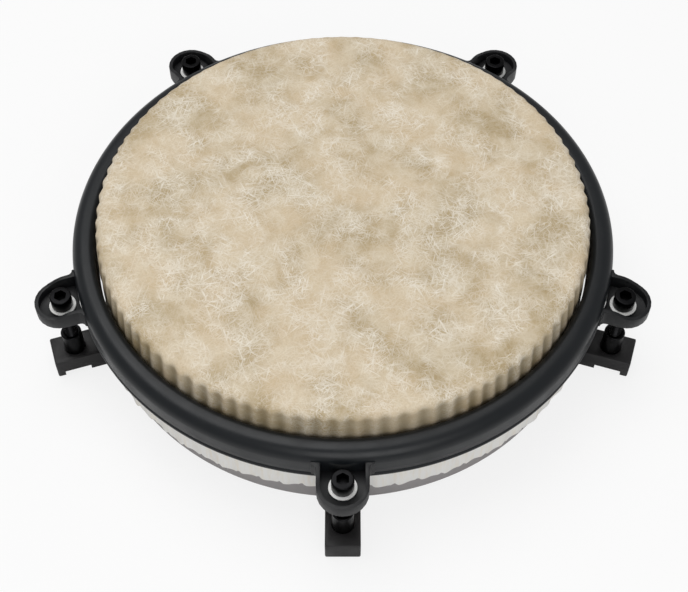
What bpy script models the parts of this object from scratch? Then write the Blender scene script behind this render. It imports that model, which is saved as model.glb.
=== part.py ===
"""Flat travel conga: a low shell ring, a wrapped head, a curved rim and five tuning lugs.

Units are metres and +Z is up. The origin is the centre of the playing face, on the
drum's axis, and depths run down from it. Five lugs stand round the rim, the first one
towards -Y. Each lug has an ear welded to the rim, a tension bolt with its washer, a
threaded bushing and the block that carries the bushing on the shell.
"""

from math import cos, pi, radians, sin, tau

import bmesh
import bpy
from mathutils import Matrix, Vector

MM = 0.001

# How finely round things are cut, the rings in a multiple of 20 so that every lug meets them alike
RING_STEPS = 40
BOLT_STEPS = 20
SCREW_STEPS = 12
ARC_STEPS = 3
EAR_STEPS = 6
SMOOTH_ANGLE = radians(35)
MERGE_DISTANCE = 0.01 * MM

# Pieces that touch keep this much air, and the film lies this close over the shell
TOUCH = 0.3 * MM
CUT_MARGIN = 5.0 * MM

# Lugs
LUG_COUNT = 5
FIRST_LUG_ANGLE = radians(-90)
LUG_ANGLES = [FIRST_LUG_ANGLE + tau * lug / LUG_COUNT for lug in range(LUG_COUNT)]

# How far the rim can still go down from the tuning shown
TIGHTEN_TRAVEL = 6.0 * MM

# Head, whose wrap round the hoop is placed in degrees of the bar's section
FACE_RADIUS = 147.05 * MM
EDGE_ROUNDING = 5.0 * MM
FILM_THICKNESS = 0.6 * MM
COLLAR_DEPTH = 38.5 * MM
TAIL_DEPTH = 63.5 * MM
TAIL_LEAVES_AT = -20
TAIL_BACK_LEAVES_AT = -75
WRAP_STARTS_AT = -135

# Shell, which flares from the bearing edge to its foot
SHELL_DEPTH = 86.3 * MM
SHELL_FLARE = 6.85 * MM
SHELL_WALL = 9.0 * MM
BEARING_LAND = 1.5 * MM
BEARING_LAND_DROP = 0.4 * MM
SHELL_FOOT_ROUNDING = 1.5 * MM

# Flesh hoop, a round bar that runs just clear of the collar
HOOP_BAR = 8.4 * MM
HOOP_RUNNING_GAP = 0.5 * MM

# Rim, one sheet rolled over the hoop
RIM_TOP_DEPTH = 15.3 * MM
RIM_SHEET = 3.0 * MM
RIM_WIDTH = 14.3 * MM
RIM_INNER_ROUNDING = 4.0 * MM
RIM_OUTER_ROUNDING = 8.0 * MM
RIM_INNER_DROP = 14.1 * MM
RIM_OUTER_DROP = 23.3 * MM
RIM_TUCK = 0.3 * MM
SKIRT_INSET = 0.7 * MM

# Ear, an open pan welded to the rim's outside, its tip stretched out past the bolt
EAR_REACH = 10.4 * MM
EAR_RADIUS = 15.0 * MM
EAR_STRETCH = 1.4 * MM
EAR_SHEET = 2.3 * MM
EAR_FLOOR_DROP = 15.1 * MM
EAR_FLOOR = 2.5 * MM
EAR_FOOT_ROUNDING = 2.4 * MM
EAR_WALL_TIP = 6.0 * MM
EAR_WALL_ROOT = 9.4 * MM
EAR_SWEEP_START = 8.6 * MM
EAR_SWEEP_LENGTH = 14.0 * MM
EAR_FLARE = 3.0 * MM

# Tension bolt and its washer
BOLT_SHANK = 8.0 * MM
BOLT_LENGTH = 45.0 * MM
BOLT_HEAD = 13.0 * MM
BOLT_HEAD_HEIGHT = 9.1 * MM
BOLT_CHAMFER = 0.7 * MM
KEY_WIDTH = 7.0 * MM
KEY_DEPTH = 5.5 * MM
BOLT_HOLE_GAP = 0.4 * MM
THREAD_GAP = 0.3 * MM
WASHER_DIAMETER = 16.4 * MM
WASHER_THICKNESS = 1.0 * MM

# Threaded bushing, which stands on the block
BUSHING_DIAMETER = 13.0 * MM
BUSHING_STAND = 16.7 * MM
BUSHING_RUNOUT = 0.2 * MM
BUSHING_LIP = 1.0 * MM

# Lug block, whose underside has a slot for a stand's arm
BLOCK_WIDTH = 21.0 * MM
BLOCK_HEIGHT = 14.7 * MM
BLOCK_FOOT_DROP = 3.1 * MM
BLOCK_OVERHANG = 14.8 * MM
BLOCK_ROUNDING = 1.0 * MM
SLOT_WIDTH = 16.8 * MM
SLOT_DEPTH = 4.3 * MM
SLOT_LIP = 4.7 * MM

# Two screws hold each block, through a backing plate inside the shell
SCREW_SHANK = 4.8 * MM
SCREW_GRIP = 11.0 * MM
SCREW_SPREAD = 11.0 * MM
SCREW_DROP = 4.6 * MM
SCREW_HEAD = 9.0 * MM
SCREW_HEAD_FLAT = 5.4 * MM
SCREW_HEAD_HEIGHT = 2.8 * MM
SCREW_HEAD_EDGE = 0.9 * MM
SCREW_KEY = 3.0 * MM
SCREW_KEY_DEPTH = 1.8 * MM
PLATE_THICKNESS = 3.0 * MM
PLATE_WIDTH = 22.0 * MM
PLATE_HEIGHT = 11.0 * MM
PLATE_ROUNDING = 1.5 * MM

# Shell heights and radii worked out from the sizes above
SHELL_TOP = -(FILM_THICKNESS + TOUCH)
EDGE_CENTRE = -EDGE_ROUNDING
BEARING_ROUNDING = EDGE_ROUNDING - FILM_THICKNESS - TOUCH
SHELL_FOOT = -SHELL_DEPTH
FLARE_TOP_RADIUS = FACE_RADIUS + BEARING_ROUNDING
FLARE_SLOPE = SHELL_FLARE / (SHELL_DEPTH - EDGE_ROUNDING)


def shell_radius(z):
    """Outer radius of the shell at a height below the bearing edge."""
    return FLARE_TOP_RADIUS + FLARE_SLOPE * (EDGE_CENTRE - z)


def collar_radius(z):
    """Outer radius of the head's collar, which lies over the shell."""
    return shell_radius(z) + TOUCH + FILM_THICKNESS


# Rim group
RIM_TOP = -RIM_TOP_DEPTH
HOOP_RADIUS = collar_radius(-COLLAR_DEPTH) + HOOP_RUNNING_GAP + HOOP_BAR / 2
SKIRT_FOOT = RIM_TOP - RIM_INNER_DROP
HOOP_CENTRE = SKIRT_FOOT - TOUCH - HOOP_BAR / 2
RIM_INNER_RADIUS = HOOP_RADIUS - RIM_SHEET - SKIRT_INSET
RIM_OUTER_RADIUS = RIM_INNER_RADIUS + RIM_WIDTH
RIM_LIP = RIM_TOP - RIM_OUTER_DROP

# Lug group
LUG_CIRCLE = RIM_OUTER_RADIUS + EAR_REACH
EAR_FLOOR_TOP = RIM_TOP - EAR_FLOOR_DROP
WASHER_BOTTOM = EAR_FLOOR_TOP + TOUCH
WASHER_TOP = WASHER_BOTTOM + WASHER_THICKNESS
BOLT_SEAT = WASHER_TOP + TOUCH
BLOCK_FOOT = SHELL_FOOT - BLOCK_FOOT_DROP
BLOCK_TOP = BLOCK_FOOT + BLOCK_HEIGHT
BLOCK_END = LUG_CIRCLE + BLOCK_OVERHANG
SLOT_ROOF = BLOCK_FOOT + SLOT_DEPTH
BUSHING_TOP = BLOCK_TOP + BUSHING_STAND
BUSHING_BOTTOM = BOLT_SEAT - BOLT_LENGTH - TIGHTEN_TRAVEL - BUSHING_RUNOUT
SCREW_HEIGHT = BLOCK_TOP - SCREW_DROP
PLATE_FACE = shell_radius(SCREW_HEIGHT) - SHELL_WALL - TOUCH - PLATE_THICKNESS
SCREW_END = shell_radius(SCREW_HEIGHT) + SCREW_GRIP


def linear_colour(hex_code):
    """Turn an sRGB hex code into the linear colour that a shader takes."""
    channels = [int(hex_code[place:place + 2], 16) / 255 for place in (0, 2, 4)]
    return [c / 12.92 if c <= 0.04045 else ((c + 0.055) / 1.055) ** 2.4 for c in channels] + [1.0]


def make_material(name, hex_code, roughness, metallic=0.0):
    """One Principled material with the piece's own colour and finish."""
    material = bpy.data.materials.new(name)
    material.use_nodes = True
    shader = material.node_tree.nodes["Principled BSDF"]
    shader.inputs["Base Color"].default_value = linear_colour(hex_code)
    shader.inputs["Roughness"].default_value = roughness
    shader.inputs["Metallic"].default_value = metallic
    material.diffuse_color = linear_colour(hex_code)
    return material


def clear_scene():
    """Remove whatever the scene holds, and make the two collections."""
    for thing in list(bpy.data.objects):
        bpy.data.objects.remove(thing, do_unlink=True)
    parts = bpy.data.collections.new("conga")
    cutters = bpy.data.collections.new("cutters")
    for collection in (parts, cutters):
        bpy.context.scene.collection.children.link(collection)
    return parts, cutters


def as_cutter(thing, collection):
    """Keep a shape as a construction body that is never a part of the drum."""
    for old in list(thing.users_collection):
        old.objects.unlink(thing)
    collection.objects.link(thing)
    thing.hide_render = True
    thing.display_type = "WIRE"
    return thing


def arc(centre_x, centre_z, radius, start, end, steps=ARC_STEPS):
    """Points on an arc in the profile plane, angles in degrees, both ends included."""
    angles = [radians(start + (end - start) * step / steps) for step in range(steps + 1)]
    return [(centre_x + radius * cos(angle), centre_z + radius * sin(angle)) for angle in angles]


def turned(name, profile, steps, collection, closed=True):
    """Turn a profile of (radius, height) points round Z with a Screw modifier.

    The profile runs down its outer side. A closed one is a ring, and an open one
    starts and ends on the axis.
    """
    edges = [(point, point + 1) for point in range(len(profile) - 1)]
    if closed:
        edges.append((len(profile) - 1, 0))
    mesh = bpy.data.meshes.new(name)
    mesh.from_pydata([(radius, 0.0, height) for radius, height in profile], edges, [])
    thing = bpy.data.objects.new(name, mesh)
    collection.objects.link(thing)
    screw = thing.modifiers.new("turn", "SCREW")
    screw.axis = "Z"
    screw.angle = tau
    screw.steps = steps
    screw.render_steps = steps
    screw.use_merge_vertices = True
    screw.merge_threshold = MERGE_DISTANCE
    return thing


def box(name, low, high, collection):
    """A box between two opposite corners."""
    mesh = bpy.data.meshes.new(name)
    shape = bmesh.new()
    bmesh.ops.create_cube(shape, size=1.0)
    size = [top - bottom for bottom, top in zip(low, high)]
    middle = [(top + bottom) / 2 for bottom, top in zip(low, high)]
    bmesh.ops.scale(shape, vec=size, verts=shape.verts)
    bmesh.ops.translate(shape, vec=middle, verts=shape.verts)
    shape.to_mesh(mesh)
    shape.free()
    thing = bpy.data.objects.new(name, mesh)
    collection.objects.link(thing)
    return thing


def rods(name, ends, radius, steps, collection, turn=0.0):
    """Straight rods of one radius in one mesh, each between two points."""
    mesh = bpy.data.meshes.new(name)
    shape = bmesh.new()
    for start, end in ends:
        start, end = Vector(start), Vector(end)
        run = end - start
        aim = run.to_track_quat("Z", "Y").to_matrix().to_4x4()
        place = Matrix.Translation((start + end) / 2) @ aim @ Matrix.Rotation(turn, 4, "Z")
        bmesh.ops.create_cone(shape, cap_ends=True, segments=steps, radius1=radius,
                              radius2=radius, depth=run.length, matrix=place)
    shape.to_mesh(mesh)
    shape.free()
    thing = bpy.data.objects.new(name, mesh)
    collection.objects.link(thing)
    return thing


def slab(name, outline, low, high, collection, upright=False):
    """A flat outline raised from low to high.

    An upright slab reads its outline as (x, z) and runs from low to high along Y.
    """
    curve = bpy.data.curves.new(name, "CURVE")
    curve.dimensions = "2D"
    curve.fill_mode = "BOTH"
    curve.extrude = (high - low) / 2
    spline = curve.splines.new("POLY")
    spline.points.add(len(outline) - 1)
    for point, (x, y) in zip(spline.points, outline):
        point.co = (x, y, 0.0, 1.0)
    spline.use_cyclic_u = True
    sketch = bpy.data.objects.new(name + "_sketch", curve)
    collection.objects.link(sketch)
    mesh = evaluated_mesh(sketch)
    shape = bmesh.new()
    shape.from_mesh(mesh)
    bmesh.ops.remove_doubles(shape, verts=shape.verts, dist=MERGE_DISTANCE)
    middle = (low + high) / 2
    if upright:
        bmesh.ops.rotate(shape, cent=(0, 0, 0), matrix=Matrix.Rotation(pi / 2, 3, "X"), verts=shape.verts)
        bmesh.ops.translate(shape, vec=(0, middle, 0), verts=shape.verts)
    else:
        bmesh.ops.translate(shape, vec=(0, 0, middle), verts=shape.verts)
    shape.to_mesh(mesh)
    shape.free()
    bpy.data.objects.remove(sketch, do_unlink=True)
    thing = bpy.data.objects.new(name, mesh)
    collection.objects.link(thing)
    return thing


def evaluated_mesh(thing):
    """The mesh that an object's modifiers make, as a mesh of its own."""
    graph = bpy.context.evaluated_depsgraph_get()
    graph.update()
    return bpy.data.meshes.new_from_object(thing.evaluated_get(graph))


def cut(thing, *cutters):
    """Cut bodies away from a piece with exact Booleans."""
    for cutter in cutters:
        boolean = thing.modifiers.new("cut_" + cutter.name, "BOOLEAN")
        boolean.operation = "DIFFERENCE"
        boolean.solver = "EXACT"
        boolean.object = cutter
    return thing


def soften(thing, width, segments=1, angle=60):
    """Round the edges that are sharper than an angle in degrees."""
    bevel = thing.modifiers.new("soften", "BEVEL")
    bevel.width = width
    bevel.segments = segments
    bevel.limit_method = "ANGLE"
    bevel.angle_limit = radians(angle)
    return thing


def finished_mesh(thing, material):
    """Apply a piece's modifiers, shade it smooth between sharp edges and colour it."""
    mesh = evaluated_mesh(thing)
    mesh.shade_smooth()
    mesh.set_sharp_from_angle(angle=SMOOTH_ANGLE)
    mesh.materials.clear()
    mesh.materials.append(material)
    return mesh


def finish(thing, material):
    """Turn a piece with its modifiers into its finished mesh."""
    mesh = finished_mesh(thing, material)
    thing.modifiers.clear()
    thing.data = mesh
    mesh.name = thing.name
    return thing


def repeat_at_lugs(name, prototype, material, collection, parent, at_bolt=False):
    """One object a lug from one shared mesh, and the prototype goes.

    A piece drawn round the drum's axis turns about it. One drawn round its bolt's own
    axis stands on the bolt circle.
    """
    mesh = finished_mesh(prototype, material)
    mesh.name = name
    bpy.data.objects.remove(prototype, do_unlink=True)
    for lug, angle in enumerate(LUG_ANGLES, start=1):
        copy = bpy.data.objects.new(f"{name}_{lug}", mesh)
        collection.objects.link(copy)
        copy.rotation_euler.z = angle
        if at_bolt:
            copy.location = (LUG_CIRCLE * cos(angle), LUG_CIRCLE * sin(angle), 0.0)
        copy.parent = parent


def make_axis(name, collection, parent=None):
    """An empty on the drum's axis that a group of pieces hangs from."""
    axis = bpy.data.objects.new(name, None)
    axis.empty_display_size = FACE_RADIUS
    collection.objects.link(axis)
    axis.parent = parent
    return axis


def shell_outline(grow=0.0):
    """Profile of the shell, grown by a clearance where a neighbour is cut to it."""
    inner_foot = shell_radius(SHELL_FOOT) - SHELL_WALL - grow
    inner_top = FLARE_TOP_RADIUS - SHELL_WALL - grow
    land = FACE_RADIUS - BEARING_LAND
    land_height = SHELL_TOP - BEARING_LAND_DROP + grow
    foot = SHELL_FOOT - grow
    outer_foot = shell_radius(foot) + grow
    rounding = SHELL_FOOT_ROUNDING
    profile = arc(FACE_RADIUS, EDGE_CENTRE, BEARING_ROUNDING + grow, 90, 0)
    profile += [(outer_foot, foot + rounding), (outer_foot - rounding, foot)]
    profile += [(inner_foot + rounding, foot), (inner_foot, foot + rounding)]
    profile += [(inner_top, land_height - (land - inner_top)), (land, land_height)]
    return profile


def screw_axis_ends(start, end):
    """Both screws of a lug from one radius to another, drawn at angle zero."""
    sides = (-SCREW_SPREAD / 2, SCREW_SPREAD / 2)
    return [((start, side, SCREW_HEIGHT), (end, side, SCREW_HEIGHT)) for side in sides]


def make_shell(parts, cutters, axis, material):
    """The low ring of the drum, with a bearing edge and holes for the block screws."""
    shell = turned("shell", shell_outline(), RING_STEPS, parts)
    ends = []
    hole_start = shell_radius(SHELL_FOOT) - SHELL_WALL - CUT_MARGIN
    hole_end = shell_radius(SHELL_FOOT) + CUT_MARGIN
    for angle in LUG_ANGLES:
        spin = Matrix.Rotation(angle, 4, "Z")
        for start, end in screw_axis_ends(hole_start, hole_end):
            ends.append((spin @ Vector(start), spin @ Vector(end)))
    radius = SCREW_SHANK / 2 + TOUCH
    holes = as_cutter(rods("screw_holes", ends, radius, SCREW_STEPS, parts), cutters)
    cut(shell, holes)
    finish(shell, material)
    shell.parent = axis


def make_head_film(parts, axis, material):
    """The playing face and its collar, one skin over the bearing edge."""
    outer, inner = collar_radius(-COLLAR_DEPTH), collar_radius(-COLLAR_DEPTH) - FILM_THICKNESS
    profile = [(0.0, 0.0)]
    profile += arc(FACE_RADIUS, EDGE_CENTRE, EDGE_ROUNDING, 90, 0)
    profile += [(outer, -COLLAR_DEPTH), (inner, -COLLAR_DEPTH)]
    profile += arc(FACE_RADIUS, EDGE_CENTRE, EDGE_ROUNDING - FILM_THICKNESS, 0, 90)
    profile += [(0.0, -FILM_THICKNESS)]
    film = turned("head_film", profile, RING_STEPS, parts, closed=False)
    finish(film, material)
    film.parent = axis


def make_flesh_hoop(parts, slide, material):
    """The steel ring that the head is wrapped on."""
    profile = arc(HOOP_RADIUS, HOOP_CENTRE, HOOP_BAR / 2, 90, -270, steps=8)[:-1]
    hoop = turned("flesh_hoop", profile, RING_STEPS, parts)
    finish(hoop, material)
    hoop.parent = slide


def make_head_tail(parts, slide, material):
    """The skin's loose end, which comes from under the hoop and hangs below the rim."""
    inside = HOOP_BAR / 2 + TOUCH
    outside = inside + FILM_THICKNESS
    leave = HOOP_RADIUS + inside * cos(radians(TAIL_LEAVES_AT))
    leave_height = HOOP_CENTRE + inside * sin(radians(TAIL_LEAVES_AT))
    profile = [(leave + FILM_THICKNESS, leave_height), (leave + FILM_THICKNESS, -TAIL_DEPTH)]
    profile += [(leave, -TAIL_DEPTH), (leave, HOOP_CENTRE - outside)]
    profile += arc(HOOP_RADIUS, HOOP_CENTRE, outside, TAIL_BACK_LEAVES_AT, WRAP_STARTS_AT, steps=2)
    profile += arc(HOOP_RADIUS, HOOP_CENTRE, inside, WRAP_STARTS_AT, TAIL_LEAVES_AT)
    tail = turned("head_tail", profile, RING_STEPS, parts)
    finish(tail, material)
    tail.parent = slide


def make_rim(parts, slide, material):
    """Sheet rolled into a round crown with a short inner and a longer outer skirt."""
    inner_centre = RIM_INNER_RADIUS + RIM_INNER_ROUNDING
    outer_centre = RIM_OUTER_RADIUS - RIM_OUTER_ROUNDING
    lip = RIM_SHEET / 2
    lip_centre = RIM_OUTER_RADIUS - RIM_TUCK - lip
    profile = arc(outer_centre, RIM_TOP - RIM_OUTER_ROUNDING, RIM_OUTER_ROUNDING, 90, 0, steps=5)
    profile += arc(lip_centre, RIM_LIP + lip, lip, 0, -180)
    profile += arc(outer_centre, RIM_TOP - RIM_OUTER_ROUNDING, RIM_OUTER_ROUNDING - RIM_SHEET, 0, 90)
    profile += [(RIM_INNER_RADIUS + RIM_SHEET, RIM_TOP - RIM_SHEET)]
    profile += [(RIM_INNER_RADIUS + RIM_SHEET, SKIRT_FOOT), (RIM_INNER_RADIUS, SKIRT_FOOT)]
    profile += arc(inner_centre, RIM_TOP - RIM_INNER_ROUNDING, RIM_INNER_ROUNDING, 180, 90)
    rim = turned("rim", profile, RING_STEPS, parts)
    finish(rim, material)
    rim.parent = slide


def ear_outline(inset):
    """Plan of an ear at angle zero, moved in from its outside by a wall or nothing."""
    radius = EAR_RADIUS - inset
    root = RIM_OUTER_RADIUS - CUT_MARGIN
    side = arc(LUG_CIRCLE + EAR_STRETCH, 0.0, radius, 90, -90, steps=2 * EAR_STEPS)
    if inset > 0:
        return [(root, radius)] + side + [(root, -radius)]
    flare_x = RIM_OUTER_RADIUS + EAR_FLARE
    flare = arc(flare_x, radius + EAR_FLARE, EAR_FLARE, 180, 270)
    mirrored = [(x, -y) for x, y in reversed(flare)]
    return [(root, radius + EAR_FLARE)] + flare + side + mirrored + [(root, -radius - EAR_FLARE)]


def make_ears(parts, cutters, slide, material):
    """Open pans with a low wall at the tip that sweeps up to the rim."""
    low, high = EAR_FLOOR_TOP - EAR_FLOOR, EAR_FLOOR_TOP + EAR_WALL_ROOT + CUT_MARGIN
    ear = slab("ear", ear_outline(0.0), low, high, parts)
    soften(ear, EAR_FOOT_ROUNDING, segments=2)
    pan =as_cutter(slab("ear_pan", ear_outline(EAR_SHEET), EAR_FLOOR_TOP, high + CUT_MARGIN, parts), cutters)
    sweep_end = LUG_CIRCLE + EAR_SWEEP_START
    sweep = []
    for step in range(2 * ARC_STEPS + 1):
        share = step / (2 * ARC_STEPS)
        rise = (1 - cos(pi * share)) / 2 * (EAR_WALL_ROOT - EAR_WALL_TIP)
        sweep.append((sweep_end - share * EAR_SWEEP_LENGTH, EAR_FLOOR_TOP + EAR_WALL_TIP + rise))
    past_tip = LUG_CIRCLE + EAR_STRETCH + EAR_RADIUS + CUT_MARGIN
    past_root = RIM_OUTER_RADIUS - 2 * CUT_MARGIN
    above = high + CUT_MARGIN
    trim = [(past_tip, EAR_FLOOR_TOP + EAR_WALL_TIP)] + sweep
    trim += [(past_root, EAR_FLOOR_TOP + EAR_WALL_ROOT), (past_root, above), (past_tip, above)]
    half = EAR_RADIUS + EAR_FLARE + CUT_MARGIN
    trimmer = as_cutter(slab("ear_sweep", trim, -half, half, parts, upright=True), cutters)
    reach = [((0, 0, low - CUT_MARGIN), (0, 0, above))]
    rim_side = as_cutter(rods("rim_side", reach, RIM_OUTER_RADIUS + TOUCH, RING_STEPS, parts), cutters)
    hole_run = [((LUG_CIRCLE, 0, low - CUT_MARGIN), (LUG_CIRCLE, 0, above))]
    hole_radius = BOLT_SHANK / 2 + BOLT_HOLE_GAP
    hole = as_cutter(rods("ear_hole", hole_run, hole_radius, BOLT_STEPS, parts), cutters)
    cut(ear, trimmer, pan, rim_side, hole)
    repeat_at_lugs("ear", ear, material, parts, slide)


def make_washers(parts, slide, material):
    """Thin white washers between the bolt heads and the ears."""
    bore = BOLT_SHANK / 2 + BOLT_HOLE_GAP
    edge = WASHER_DIAMETER / 2
    profile = [(edge, WASHER_TOP), (edge, WASHER_BOTTOM), (bore, WASHER_BOTTOM), (bore, WASHER_TOP)]
    washer = turned("washer", profile, BOLT_STEPS, parts)
    repeat_at_lugs("washer", washer, material, parts, slide, at_bolt=True)


def make_bolts(parts, cutters, slide, material):
    """Cylinder-head bolts with a hexagon socket, each drawn round its own axis."""
    head, shank = BOLT_HEAD / 2, BOLT_SHANK / 2
    top, end = BOLT_SEAT + BOLT_HEAD_HEIGHT, BOLT_SEAT - BOLT_LENGTH
    profile = [(0.0, top), (head - BOLT_CHAMFER, top), (head, top - BOLT_CHAMFER), (head, BOLT_SEAT)]
    profile += [(shank, BOLT_SEAT), (shank, end + BOLT_CHAMFER), (shank - BOLT_CHAMFER, end), (0.0, end)]
    bolt = turned("tension_bolt", profile, BOLT_STEPS, parts, closed=False)
    corner = KEY_WIDTH / 2 / cos(pi / 6)
    key_run = [((0, 0, top - KEY_DEPTH), (0, 0, top + CUT_MARGIN))]
    key = as_cutter(rods("bolt_key", key_run, corner, 6, parts), cutters)
    cut(bolt, key)
    repeat_at_lugs("tension_bolt", bolt, material, parts, slide, at_bolt=True)


def make_bushings(parts, axis, material):
    """Threaded steel tubes that the tension bolts screw into."""
    wall, bore = BUSHING_DIAMETER / 2, BOLT_SHANK / 2 + THREAD_GAP
    profile = arc(wall - BUSHING_LIP, BUSHING_TOP - BUSHING_LIP, BUSHING_LIP, 90, 0, steps=2)
    profile += [(wall, BUSHING_BOTTOM), (bore, BUSHING_BOTTOM), (bore, BUSHING_TOP)]
    bushing = turned("bushing", profile, BOLT_STEPS, parts)
    repeat_at_lugs("bushing", bushing, material, parts, axis, at_bolt=True)


def make_blocks(parts, cutters, axis, material):
    """Blocks screwed to the shell, with the bushing's seat above and a slot below."""
    root = shell_radius(SHELL_FOOT) - SHELL_WALL / 2
    half = BLOCK_WIDTH / 2
    block = box("lug_block", (root, -half, BLOCK_FOOT), (BLOCK_END, half, BLOCK_TOP), parts)
    soften(block, BLOCK_ROUNDING, segments=2)
    shell_side = as_cutter(turned("shell_side", shell_outline(TOUCH), RING_STEPS, parts), cutters)
    slot_end = BLOCK_END - SLOT_LIP
    slot_low = (slot_end - SLOT_WIDTH, -BLOCK_WIDTH, BLOCK_FOOT - CUT_MARGIN)
    slot = as_cutter(box("stand_slot", slot_low, (slot_end, BLOCK_WIDTH, SLOT_ROOF), parts), cutters)
    seat_run = [((LUG_CIRCLE, 0, BUSHING_BOTTOM - TOUCH), (LUG_CIRCLE, 0, BLOCK_TOP + CUT_MARGIN))]
    seat_radius = BUSHING_DIAMETER / 2 + TOUCH
    seat = as_cutter(rods("bushing_seat", seat_run, seat_radius, BOLT_STEPS, parts), cutters)
    screw_run = screw_axis_ends(root - CUT_MARGIN, SCREW_END + TOUCH)
    screw_radius = SCREW_SHANK / 2 + TOUCH
    screws = as_cutter(rods("block_holes", screw_run, screw_radius, SCREW_STEPS, parts), cutters)
    cut(block, shell_side, slot, seat, screws)
    repeat_at_lugs("lug_block", block, material, parts, axis)


def make_backing_plates(parts, cutters, axis, material):
    """Plates inside the shell, hollowed to its wall, under the block screws' heads."""
    half, tall = PLATE_WIDTH / 2, PLATE_HEIGHT / 2
    back = shell_radius(SCREW_HEIGHT) - SHELL_WALL / 2
    low = (PLATE_FACE, -half, SCREW_HEIGHT - tall)
    plate = box("backing_plate", low, (back, half, SCREW_HEIGHT + tall), parts)
    soften(plate, PLATE_ROUNDING)
    wall_side = as_cutter(turned("wall_side", shell_outline(TOUCH), RING_STEPS, parts), cutters)
    screw_run = screw_axis_ends(PLATE_FACE - CUT_MARGIN, back + CUT_MARGIN)
    radius = SCREW_SHANK / 2 + TOUCH
    screws = as_cutter(rods("plate_holes", screw_run, radius, SCREW_STEPS, parts), cutters)
    cut(plate, wall_side, screws)
    repeat_at_lugs("backing_plate", plate, material, parts, axis)


def make_block_screws(parts, cutters, axis, material):
    """Two button-head screws a lug, from inside the shell into the block."""
    head, shank = SCREW_HEAD / 2, SCREW_SHANK / 2
    seat = PLATE_FACE - TOUCH
    length = SCREW_END - seat
    profile = [(0.0, SCREW_HEAD_HEIGHT), (SCREW_HEAD_FLAT / 2, SCREW_HEAD_HEIGHT), (head, SCREW_HEAD_EDGE)]
    profile += [(head, 0.0), (shank, 0.0), (shank, -length), (0.0, -length)]
    screw = turned("block_screw", profile, SCREW_STEPS, parts, closed=False)
    key_run = [((0, 0, SCREW_HEAD_HEIGHT - SCREW_KEY_DEPTH), (0, 0, SCREW_HEAD_HEIGHT + CUT_MARGIN))]
    key = as_cutter(rods("screw_key", key_run, SCREW_KEY / 2 / cos(pi / 6), 6, parts), cutters)
    cut(screw, key)
    mesh = finished_mesh(screw, material)
    bpy.data.objects.remove(screw, do_unlink=True)
    inward = Matrix.Rotation(-pi / 2, 4, "Y")
    for lug, angle in enumerate(LUG_ANGLES, start=1):
        for letter, side in (("a", -SCREW_SPREAD / 2), ("b", SCREW_SPREAD / 2)):
            copy = bpy.data.objects.new(f"block_screw_{lug}{letter}", mesh)
            parts.objects.link(copy)
            place = Matrix.Translation((seat, side, SCREW_HEIGHT)) @ inward
            copy.matrix_world = Matrix.Rotation(angle, 4, "Z") @ place
            copy.parent = axis


def main():
    parts, cutters = clear_scene()
    drum_axis = make_axis("drum_axis", parts)
    rim_slide = make_axis("rim_slide", parts, drum_axis)

    film = make_material("head_film", "C9B899", 0.55)
    tail = make_material("head_tail", "E4E3E0", 0.6)
    shell_paint = make_material("shell_paint", "4E4A4A", 0.6)
    rim_coat = make_material("rim_coat", "25282C", 0.38)
    ear_coat = make_material("ear_coat", "1D1F21", 0.45)
    block_plastic = make_material("block_plastic", "1E1D1E", 0.5)
    black_steel = make_material("black_steel", "1B1B1C", 0.35, 0.8)
    bushing_steel = make_material("bushing_steel", "222222", 0.35, 0.8)
    nylon = make_material("nylon", "ECECEA", 0.45)
    hoop_steel = make_material("hoop_steel", "8C8F92", 0.35, 1.0)
    zinc_plate = make_material("zinc_plate", "A4A7A9", 0.4, 1.0)
    zinc_screw = make_material("zinc_screw", "B4B6B8", 0.35, 1.0)

    make_shell(parts, cutters, drum_axis, shell_paint)
    make_head_film(parts, drum_axis, film)
    make_blocks(parts, cutters, drum_axis, block_plastic)
    make_bushings(parts, drum_axis, bushing_steel)
    make_backing_plates(parts, cutters, drum_axis, zinc_plate)
    make_block_screws(parts, cutters, drum_axis, zinc_screw)

    make_rim(parts, rim_slide, rim_coat)
    make_flesh_hoop(parts, rim_slide, hoop_steel)
    make_head_tail(parts, rim_slide, tail)
    make_ears(parts, cutters, rim_slide, ear_coat)
    make_washers(parts, rim_slide, nylon)
    make_bolts(parts, cutters, rim_slide, black_steel)


main()
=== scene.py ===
"""Dress the flat travel conga: its head, rim, lugs and shell, with a plain studio round it."""

from math import atan2, cos, exp, hypot, pi, radians, sin, tau

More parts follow.
